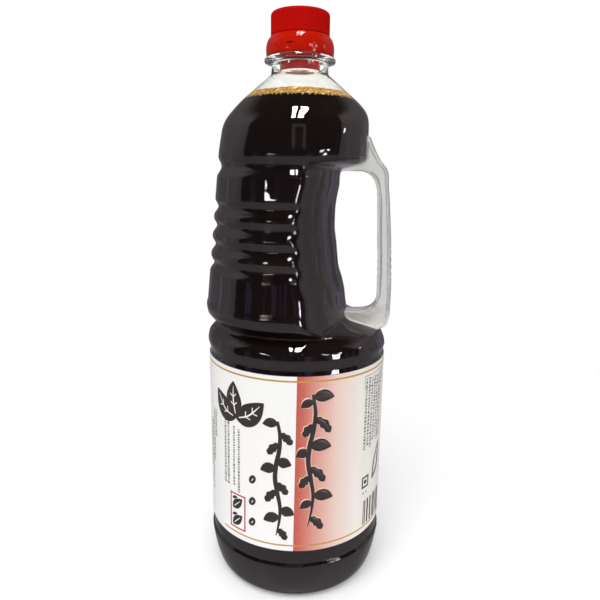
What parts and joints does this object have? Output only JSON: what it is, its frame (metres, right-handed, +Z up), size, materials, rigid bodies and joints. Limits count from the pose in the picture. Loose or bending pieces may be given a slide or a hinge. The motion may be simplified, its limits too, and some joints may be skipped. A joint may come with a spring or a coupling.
{
  "type": "soy sauce bottle",
  "caption": "Large clear bottle of dark soy sauce with a side handle behind a grip recess, a ribbed waist, a plain wrap label and a red two-piece screw cap.",
  "frame": {"origin": "on the bottle's axis at the floor, under the middle of the standing ring", "axes": "+Z up along the bottle's axis, +X towards the handle, +Y to the right of someone who faces the handle from outside"},
  "size_m": [0.1051, 0.104, 0.3154],
  "materials": {
    "clear_bottle": "clear blown plastic, glossy",
    "dark_liquid": "nearly black brown liquid",
    "golden_foam": "fine golden bubbles",
    "printed_label": "smooth printed wrap with plain fields of colour",
    "clear_handle": "clear moulded plastic, glossy",
    "orange_red_plastic": "smooth moulded plastic",
    "deep_red_plastic": "finely ribbed moulded plastic"
  },
  "bodies": {
    "root": {"bottle": "clear_bottle", "soy_sauce": "dark_liquid", "foam": "golden_foam", "label": "printed_label", "handle": "clear_handle", "cap_base": "orange_red_plastic", "cap_lid": "deep_red_plastic"}
  },
  "joints": []
}
